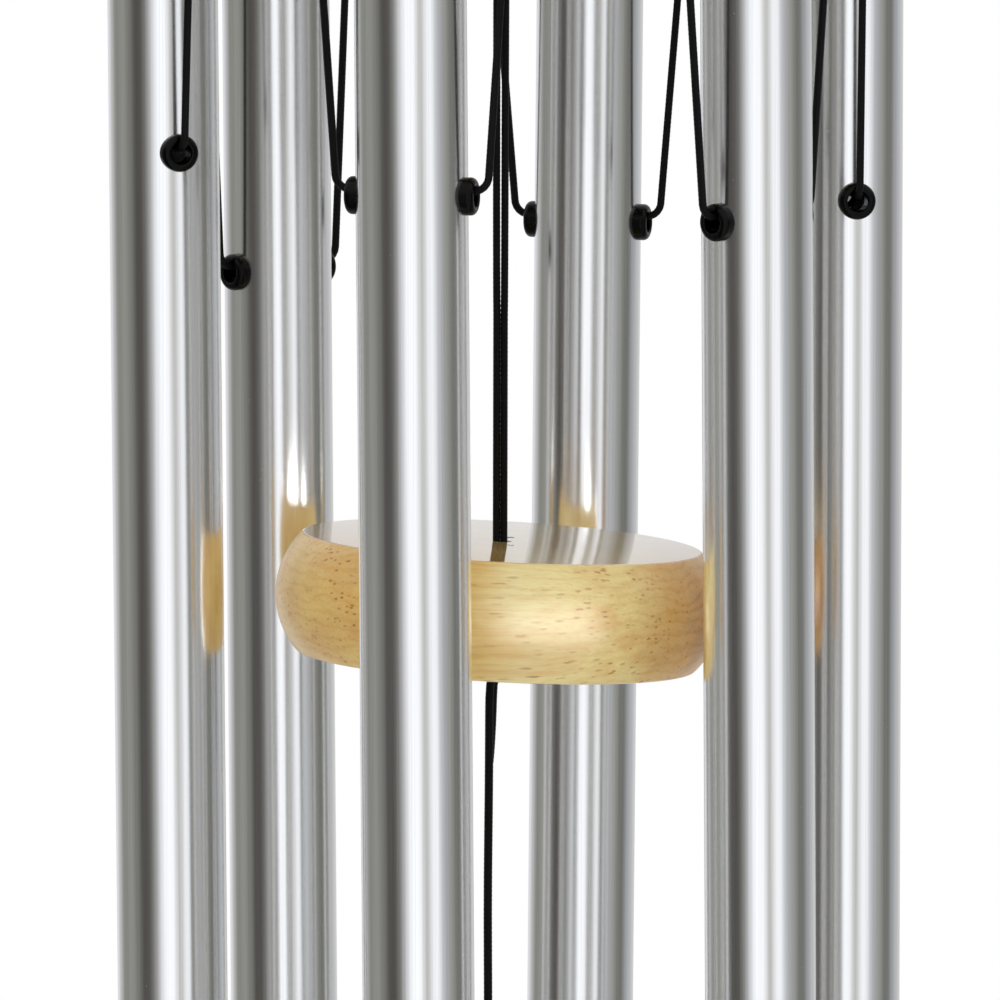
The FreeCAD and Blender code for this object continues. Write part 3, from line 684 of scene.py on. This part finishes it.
def make_platform():
    """The platform, drilled for the centre cord, the hanger cords and the tubes' strands."""
    platform = turned_disc("platform_turned", "platform", PLATFORM_TOP, -UP, 1.4 * MM)
    middle = (PLATFORM_TOP + PLATFORM_FOOT) / 2
    half = (PLATFORM_TOP - PLATFORM_FOOT).length / 2
    wide, narrow, ease = 1.45 * CORD, 0.77 * CORD, 0.35 * MM
    places = [over_hanger_hole(number) for number in HANGERS]
    for number in TUBES:
        places += [level(top) for top in strand_tops(number)]
    holes = [(middle, UP, wide, half, ease)]
    holes += [(place + middle, UP, narrow, half, ease) for place in places]
    drill(platform, holes)
    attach(platform, "platform")


def make_clapper():
    """The leaning clapper, drilled for its doubled cord."""
    clapper = turned_disc("clapper_turned", "clapper", CLAPPER_TOP, CLAPPER_DOWN, 0.7 * MM)
    half = (CLAPPER_FOOT - CLAPPER_TOP).length / 2
    middle = (CLAPPER_FOOT + CLAPPER_TOP) / 2
    hole, ease = 1.18 * CORD, 0.3 * MM
    drill(clapper, [(middle, CLAPPER_DOWN, hole, half, ease)])
    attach(clapper, "clapper")


# ---------------------------------------------------------------------------------------------
# Tubes and the cords that carry them
# ---------------------------------------------------------------------------------------------

def strand_tops(number):
    """Where a tube's two strands leave the platform's lower face."""
    middle, axis = joint_place(f"tube_{number}_swing"), joint_axis(f"tube_{number}_swing")
    spread = reach(f"tube_cord_{number}", middle, axis) - CORD / 2
    return middle - axis * spread, middle + axis * spread


def make_tube(number):
    """A drawn tube with broken edges, cross-drilled for its grommets."""
    node = f"tube_{number}"
    top, outer, inner = end_ring(node, 1)
    foot = end_ring(node, -1)[0]
    axis = (foot - top).normalized()
    length = (foot - top).length
    hang = joint_place(f"tube_{number}_rock")
    hole_at = (hang - top).dot(axis) + cord_rise(number)
    hole = 1.72 * CORD
    edge = 0.35 * MM
    patch = 8 * MM           # a short stretch round the cross hole, which keeps its edges fine
    outside = [edge, hole_at - patch, hole_at + patch, length - edge]
    profile = [(inner + edge, 0), (outer - edge, 0)]
    profile += [(outer, along) for along in outside]
    profile += [(outer - edge, length), (inner + edge, length)]
    profile += [(inner, along) for along in reversed(outside)]
    tube = lathe(f"tube_{number}_drawn", profile, top, axis, 128, ALUMINIUM)
    across = joint_axis(f"tube_{number}_rock")
    across = (across - axis * across.dot(axis)).normalized()
    drill(tube, [(top + axis * hole_at, across, hole, outer + 2 * MM, 0.0)])
    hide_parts(node)
    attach(tube, node)


def cord_rise(number):
    """How far the cord runs above the middle of its grommets' bores."""
    low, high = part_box(f"grommets_{number}")
    return joint_place(f"tube_{number}_rock").z - (low.z + high.z) / 2


def stopper(base, phase):
    """The stopper knot on a strand that comes up through the platform, and the strand's tail."""
    knot = base + UP * STOPPER_RISE
    lean = Vector((math.cos(3 * phase), math.sin(3 * phase), 0)) * 0.9 * MM
    tail = knot + UP * 2.6 * CORD + lean
    return wraps(knot, UP, CORD, STOPPER_TURNS, phase=phase), [knot, tail]


STRAND_BEND = 2.0 * CORD     # how sharply a strand turns upwards outside its grommet
STRAND_TURN = 1.45 * CORD    # how far outside the grommet's face that turn's corner is


def make_tube_cord(number):
    """The whole length that carries a tube: knot, strand, run through the tube, strand, knot."""
    left, right = strand_tops(number)
    hang, axis = joint_place(f"tube_{number}_rock"), joint_axis(f"tube_{number}_rock")
    face = reach(f"grommets_{number}", hang, axis)
    turn = face + STRAND_TURN
    height = UP * PLATFORM_TOP.z
    paths = []
    ends = []
    for phase, foot in ((number, left), (number + 0.5, right)):
        coil, tail = stopper(level(foot) + height, phase)
        paths.append(coil)
        ends.append(tail)
    corners = [ends[0][1], ends[0][0], left, hang - axis * turn, hang + axis * turn, right,
               ends[1][0], ends[1][1]]
    paths.append(rounded(corners, STRAND_BEND))
    cord = cord_piece(f"tube_cord_{number}_braid", paths)
    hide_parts(f"tube_cord_{number}", "tube_cord_ends")
    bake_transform(cord)


# ---------------------------------------------------------------------------------------------
# Centre cord, clapper knot and sail cord
# ---------------------------------------------------------------------------------------------

INTO_KNOT = 0.4 * CORD       # how near the middle of the centre knot the strands end


def make_centre_top():
    """The doubled cord's upper end: a knot on the platform, its passage through it, and the
    knot under it, whose middle the lower length swings about."""
    knot = PLATFORM_TOP + UP * 1.6 * CORD
    apart = RIGHT * 0.59 * CORD
    paths = [wraps(knot, UP, 1.22 * CORD, STOPPER_TURNS, phase=0.4)]
    foot = CENTRE_KNOT + UP * INTO_KNOT
    for side in (-1, 1):
        tail = knot + UP * 2.8 * CORD + apart * side * 1.8
        paths.append(rounded([foot + apart * side, knot + apart * side, tail], 2 * CORD))
    cord = cord_piece("centre_cord_top", paths)
    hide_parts("centre_cord_end")
    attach(cord, "platform")
    radius = reach("centre_cord_knot", CENTRE_KNOT, RIGHT) - CORD / 2
    under = cord_piece("centre_knot", [wraps(CENTRE_KNOT, -UP, radius, 2.3, phase=2.0)])
    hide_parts("centre_cord_knot")
    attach(under, "centre_cord_knot")


TAIL_STEPS = 8               # how much of the sail cord's path the knot's tail lies beside
SAIL_CORD_FATNESS = 1.15     # the single cord has swollen a little more than the others
SAIL_CORD_STEP = 1.5 * MM    # how far aside it sets off from its knot
SAIL_CORD_BOW = 0.8 * MM     # how far it bows further aside on its way down
SAIL_CORD_RIPPLE = 0.2 * MM
STRANDS_MEET = 0.75          # how far down the two centre strands come together
STRAND_DRIFT = 0.26          # how far they drift to the left on the way, in cord widths


def make_clapper_strands():
    """Two strands from that knot to the clapper.  They start apart and touch lower down."""
    start = CENTRE_KNOT - UP * INTO_KNOT
    down = CLAPPER_TOP - start
    for name, side in (("left", -1), ("right", 1)):
        path = []
        steps = 40
        for step in range(steps + 1):
            share = step / steps
            closing = min(share / STRANDS_MEET, 1)
            apart = 0.485 + 0.155 * math.cos(math.pi / 2 * closing) ** 0.6
            sway = 0.12 * math.sin(7.0 * share + side) * closing * (1 - closing)
            drift = -STRAND_DRIFT * share
            path.append(start + down * share + RIGHT * CORD * (side * apart + sway + drift))
        for place in (CLAPPER_FOOT, STOP_KNOT):
            path.append(place + RIGHT * CORD * side * 0.50)
        strand = cord_piece(f"clapper_strand_{name}", [path], fatness=1.0)
        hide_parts("clapper_cord")
        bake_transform(strand)


def make_stray_fibre():
    """A wisp of yarn that stands out where the cord enters the clapper."""
    root = CLAPPER_TOP + RIGHT * 0.7 * CORD + UP * 0.9 * MM
    tips = [(0.0, 0.0), (0.6, 0.25), (1.1, 0.3), (1.9, 0.05)]
    points = [root + RIGHT * x * MM + UP * z * MM for x, z in tips]
    curve = bpy.data.curves.new("stray_fibre", "CURVE")
    curve.dimensions = "3D"
    curve.bevel_depth = 0.11 * MM
    curve.bevel_resolution = 2
    spline = curve.splines.new("NURBS")
    spline.points.add(len(points) - 1)
    for item, point in zip(spline.points, points):
        item.co = (*point, 1.0)
    spline.use_endpoint_u = True
    curve.materials.append(BRAID)
    fibre = add_object("stray_fibre", curve)
    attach(fibre, "clapper")


def make_clapper_knot():
    """The stopper knot under the clapper."""
    radius = reach("clapper_stop_knot", STOP_KNOT, BACK) - CORD / 2
    knot = cord_piece("clapper_knot", [wraps(STOP_KNOT, CLAPPER_DOWN, radius, 2.4, phase=1.2)])
    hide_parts("clapper_stop_knot")
    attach(knot, "clapper")


def make_sail_cord():
    """The single cord down to the sail, which never hangs quite straight, and the tail of the
    clapper's knot, which lies beside its first stretch."""
    drop = STOP_KNOT.z - SAIL_KNOT.z
    steps = 110
    path = []
    for step in range(steps + 1):
        share = step / steps
        aside = SAIL_CORD_STEP * (1 - math.exp(-200 * share))
        aside += SAIL_CORD_BOW * math.sin(math.pi * share ** 0.9)
        aside *= math.sin(math.pi / 2 * min(1, 3 * (1 - share))) ** 2
        aside -= SAIL_CORD_RIPPLE * math.sin(34 * share) * math.sin(math.pi * share)
        back = 1.5 * SAIL_CORD_RIPPLE * math.sin(23 * share)
        path.append(Vector((STOP_KNOT.x - aside, back, STOP_KNOT.z - drop * share)))
    tail = []
    for point in path[:TAIL_STEPS]:
        share = len(tail) / (TAIL_STEPS - 1)
        beside = 0.40 * (1 - share ** 4) + 0.04 * math.sin(6 * share)
        tail.append(point + (RIGHT * beside + BACK * 1.05) * CORD)
    cord = cord_piece("sail_cord_braid", [path, tail], fatness=SAIL_CORD_FATNESS)
    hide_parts("sail_cord")
    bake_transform(cord)


def make_sail_loop():
    """The loop through the sail's hole, closed by a knot above it."""
    side = reach("sail_loop", SAIL_HOLE, BACK) - CORD / 2
    low = SAIL_HOLE
    neck = SAIL_KNOT - UP * 0.5 * CORD
    corners = [neck - BACK * 0.5 * CORD, low - BACK * side, low + BACK * side,
               neck + BACK * 0.5 * CORD]
    knot = wraps(SAIL_KNOT, -UP, CORD, STOPPER_TURNS, phase=0.9)
    loop = cord_piece("sail_loop_braid", [rounded(corners, 1.0 * CORD), knot])
    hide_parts("sail_loop")
    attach(loop, "sail_loop")


# ---------------------------------------------------------------------------------------------
# Build the chime
# ---------------------------------------------------------------------------------------------

make_ring()
make_hanger_loop()
for hanger in HANGERS:
    make_hanger_cord(hanger)
make_platform()
for tube in TUBES:
    make_tube(tube)
    make_tube_cord(tube)
make_centre_top()
make_clapper_strands()
make_stray_fibre()
make_clapper()
make_clapper_knot()
make_sail_cord()
make_sail_loop()

CARRIED_OVER = {"sail": WOOD, **{f"grommets_{tube}": RUBBER for tube in TUBES}}
for node, material in CARRIED_OVER.items():
    frame["nodes"][node].data.materials.clear()
    frame["nodes"][node].data.materials.append(material)


# ---------------------------------------------------------------------------------------------
# Studio: light from all round, a pale floor and the camera
# ---------------------------------------------------------------------------------------------

# What a mirror would see all round the chime, in degrees to the right of the camera, as display
# brightness and warmth: two soft windows in front, a dark screen to the left and pale walls
# behind.  The windows are a little blue and the dark screen a little brown.
COOL, PLAIN, OLIVE, WARM = (1.0, 1.01, 1.035), (1, 1, 1), (1.0, 1.005, 0.975), (1.01, 0.985, 0.96)
SURROUNDINGS = [
    (-180, 0.84, PLAIN), (-152, 0.84, COOL), (-134, 0.70, PLAIN), (-116, 0.50, OLIVE),
    (-92, 0.55, OLIVE), (-73, 0.45, OLIVE), (-60, 0.30, WARM), (-49, 0.30, WARM),
    (-39, 0.40, OLIVE), (-30, 0.61, PLAIN), (-21, 0.83, COOL), (-11, 0.99, COOL), (5, 1.0, COOL),
    (12, 0.86, PLAIN), (19, 0.67, PLAIN), (25, 0.80, PLAIN), (32, 0.96, COOL), (43, 0.97, COOL),
    (52, 0.74, COOL), (62, 0.64, COOL), (73, 0.58, OLIVE), (88, 0.44, OLIVE), (99, 0.42, OLIVE),
    (115, 0.60, COOL), (134, 0.70, COOL), (152, 0.77, PLAIN), (180, 0.84, PLAIN),
]
CEILING = (0.92, 0.92, 0.92)
WORLD_STRENGTH = 1.17

FLOOR_DROP = 130 * MM        # how far the floor lies below the sail
FLOOR_RADIUS = 3.2

STRIP_WIDTH, STRIP_HEIGHT = 1.7, 1.4
STRIP_AZIMUTH = math.radians(31)     # to the right of the camera, as seen from the clapper
STRIP_AWAY = 1.5
STRIP_DROP = 180 * MM        # how far the panel's middle is below the clapper's
STRIP_RADIANCE = 5.0

CAMERA_AIM = Vector((-0.6, 0, -488.6)) * MM
CAMERA_AWAY = 3.452
CAMERA_RISE = math.radians(5.75)
CAMERA_LENS = 427.5          # millimetres, for a sensor 36 mm wide


def make_world():
    """The surroundings' walls, which fade to an even ceiling.  The camera itself sees white."""
    world = bpy.data.worlds.new("studio")
    bpy.context.scene.world = world
    nodes = Nodes(world)
    nodes.tree.nodes.clear()
    direction = nodes.add("TexCoord").outputs["Generated"]
    parts = nodes.add("SeparateXYZ", {0: direction}).outputs
    toward = nodes.math("MULTIPLY", parts["Y"], -1.0)
    angle = nodes.math("ARCTAN2", parts["X"], toward)
    share = nodes.math("MULTIPLY_ADD", angle, 1 / math.tau, 0.5)
    stops = [(azimuth / 360 + 0.5, tuple((level * part) ** GAMMA for part in tint))
             for azimuth, level, tint in SURROUNDINGS]
    walls = nodes.ramp(share, stops, ease="EASE")
    height = nodes.add("MapRange", {"Value": parts["Z"], "From Min": 0.12, "From Max": 0.55},
                       interpolation_type="SMOOTHSTEP").outputs[0]
    lit = nodes.mix(height, walls, (*CEILING, 1.0))
    around = nodes.add("Background", {"Color": lit, "Strength": WORLD_STRENGTH}).outputs[0]
    seen = nodes.add("Background", {"Color": (1, 1, 1, 1), "Strength": 1.0}).outputs[0]
    camera_ray = nodes.add("LightPath").outputs["Is Camera Ray"]
    out = nodes.add("MixShader", {0: camera_ray, 1: around, 2: seen}).outputs[0]
    nodes.add("OutputWorld", {"Surface": out})


def pale_floor():
    """Pale and matt, and white from half way out to the rim."""
    shader = Shader("pale_floor")
    away = shader.add("VectorMath", {0: shader.add("TexCoord").outputs["Object"],
                                     1: (1, 1, 0)}, operation="MULTIPLY").outputs[0]
    distance = shader.add("VectorMath", {0: away}, operation="LENGTH").outputs["Value"]
    fade = shader.add("MapRange", {"Value": distance, "From Min": 0.5 * FLOOR_RADIUS,
                                   "From Max": 0.98 * FLOOR_RADIUS},
                      interpolation_type="SMOOTHSTEP").outputs[0]
    white = shader.add("Emission", {"Color": (1, 1, 1, 1)}).outputs[0]
    shader.set(Base_Color=(0.86, 0.86, 0.85, 1.0), Roughness=0.9)
    mixed = shader.add("MixShader", {0: fade, 1: shader.surface.outputs[0], 2: white}).outputs[0]
    shader.feed(mixed, shader.tree.nodes["Material Output"].inputs["Surface"])
    return shader.material


def make_floor():
    """A pale round floor, which the tubes don't mirror."""
    height = UP * (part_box("sail")[0].z - FLOOR_DROP)
    count, sides = 24, 96
    points = [height]
    for ring in range(1, count + 1):
        for step in range(sides):
            angle = -math.tau * step / sides
            out = RIGHT * math.cos(angle) + BACK * math.sin(angle)
            points.append(height + out * FLOOR_RADIUS * ring / count)
    faces = skin([[0] * sides] + numbered_rings(count, sides, start=1), closed=False)
    mesh = bpy.data.meshes.new("floor")
    mesh.from_pydata([tuple(point) for point in points], [], faces)
    mesh.materials.append(pale_floor())
    floor = add_object("floor", mesh)
    floor.visible_glossy = False


def make_strip_light():
    """A wide, low panel of light that shows only as a sheen in the clapper's lacquer."""
    middle = (CLAPPER_TOP + CLAPPER_FOOT) / 2
    light = bpy.data.lights.new("strip", "AREA")
    light.shape = "RECTANGLE"
    light.size, light.size_y = STRIP_WIDTH, STRIP_HEIGHT
    light.energy = STRIP_RADIANCE * math.pi * STRIP_WIDTH * STRIP_HEIGHT
    strip = add_object("strip", light)
    away = RIGHT * math.sin(STRIP_AZIMUTH) - BACK * math.cos(STRIP_AZIMUTH)
    strip.location = middle + away * STRIP_AWAY - UP * STRIP_DROP
    strip.rotation_euler = (strip.location - middle).to_track_quat("Z", "Y").to_euler()
    strip.visible_camera = False
    strip.visible_diffuse = False
    lit_pieces = bpy.data.collections.new("lit_by_strip")
    lit_pieces.objects.link(bpy.data.objects["clapper_turned"])
    strip.light_linking.receiver_collection = lit_pieces


def make_camera():
    """A long lens, a little above the level that it looks at."""
    away = -BACK * math.cos(CAMERA_RISE) + UP * math.sin(CAMERA_RISE)
    camera = add_object("camera", bpy.data.cameras.new("camera"))
    camera.location = CAMERA_AIM + away * CAMERA_AWAY
    camera.rotation_euler = (-away).to_track_quat("-Z", "Y").to_euler()
    camera.data.sensor_width = 36
    camera.data.lens = CAMERA_LENS
    camera.data.clip_end = 100
    bpy.context.scene.camera = camera


make_world()
make_floor()
make_strip_light()
make_camera()
bpy.context.scene.view_settings.view_transform = "Standard"
